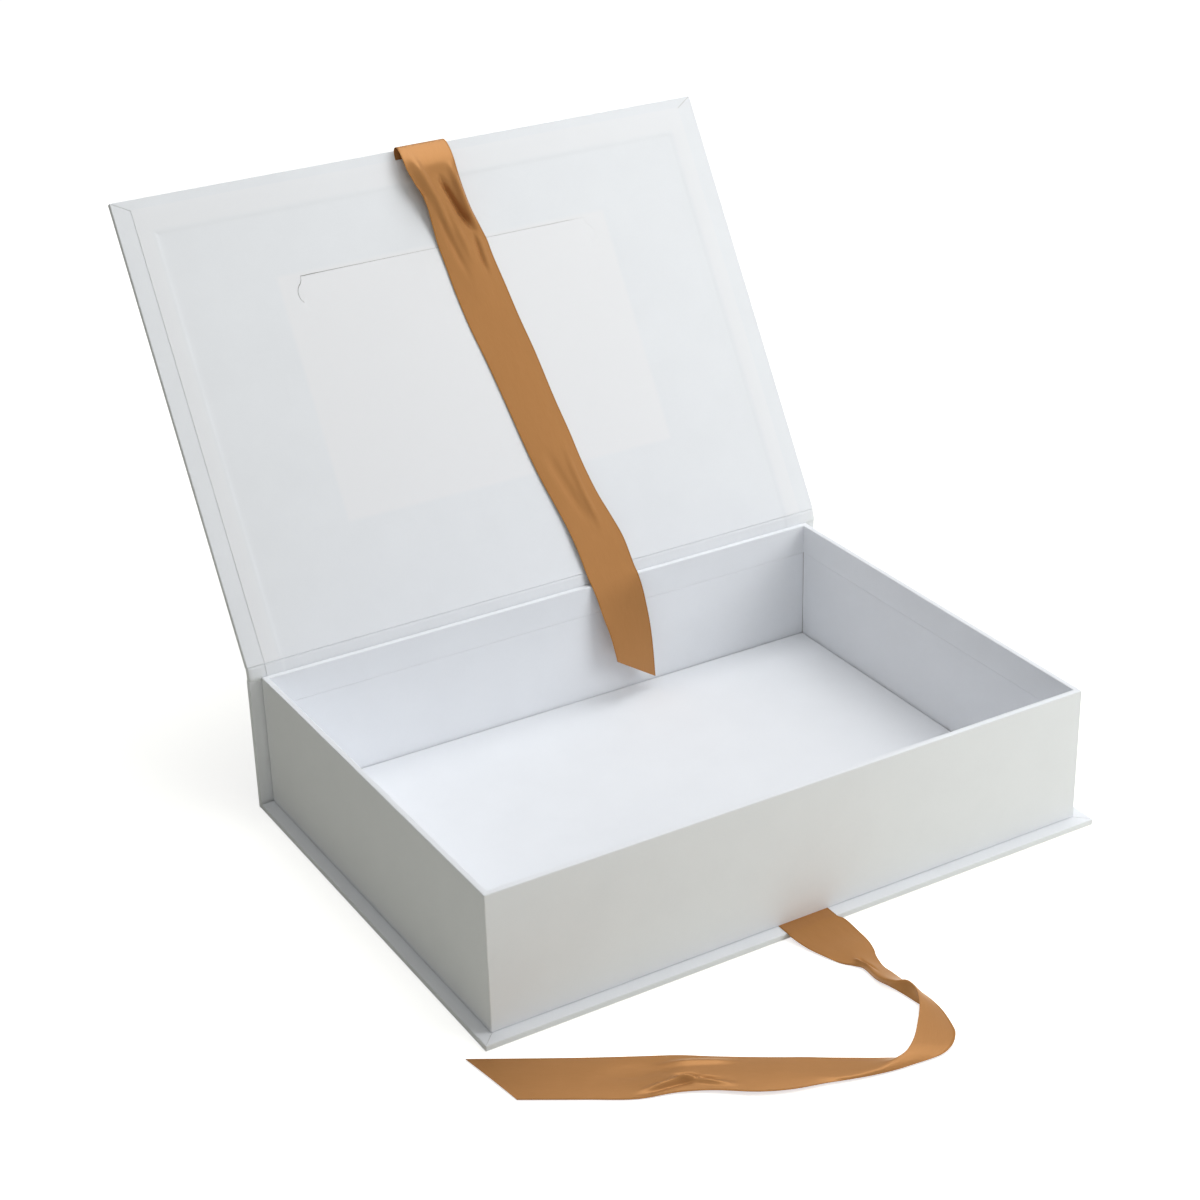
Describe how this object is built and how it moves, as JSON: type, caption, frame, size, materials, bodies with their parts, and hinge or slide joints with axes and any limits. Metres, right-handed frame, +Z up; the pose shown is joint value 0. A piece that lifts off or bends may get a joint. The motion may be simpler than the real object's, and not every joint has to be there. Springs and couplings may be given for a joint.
{
  "type": "keepsake box",
  "caption": "White paper-covered keepsake box, book style: tray on an overhanging base, lid on a paper hinge with a slit photo pocket and window, gold satin ribbons to tie it shut.",
  "frame": {"origin": "centre of the base's underside, on the table", "axes": "+X to the right along the hinge, +Y to the back, +Z up; the lid's hinge is at the back"},
  "size_m": [0.3296, 0.4452, 0.2701],
  "materials": {
    "cover_paper": "matte",
    "lining_paper": "matte",
    "greyboard": "matte",
    "adhesive": "matte",
    "satin_ribbon": "satin"
  },
  "bodies": {
    "tray": {"base_board": "greyboard", "base_cover": "cover_paper", "spine_board": "greyboard", "spine_cover": "cover_paper", "spine_liner": "lining_paper", "spine_adhesive": "adhesive", "tray_adhesive": "adhesive", "tray_bottom_board": "greyboard", "tray_front_wall": "greyboard", "tray_back_wall": "greyboard", "tray_left_wall": "greyboard", "tray_right_wall": "greyboard", "tray_wrap": "cover_paper", "floor_liner": "lining_paper", "front_wall_liner": "lining_paper", "back_wall_liner": "lining_paper", "left_wall_liner": "lining_paper", "right_wall_liner": "lining_paper", "base_ribbon": "satin_ribbon", "hinge_cover": "cover_paper", "hinge_liner": "lining_paper", "lid_ribbon_tail": "satin_ribbon"},
    "lid": {"lid_board": "greyboard", "lid_pocket_board": "greyboard", "lid_cover": "cover_paper", "lid_liner": "lining_paper", "lid_ribbon": "satin_ribbon"}
  },
  "joints": [
    {"name": "lid_hinge", "type": "hinge", "parent": "tray", "child": "lid", "pos_m": [0, 0.11325, 0.07285], "axis": [1, 0, 0], "range_deg": [-75, 121.2], "deforming": ["hinge_cover", "hinge_liner", "lid_ribbon_tail", "lid_ribbon"]}
  ]
}
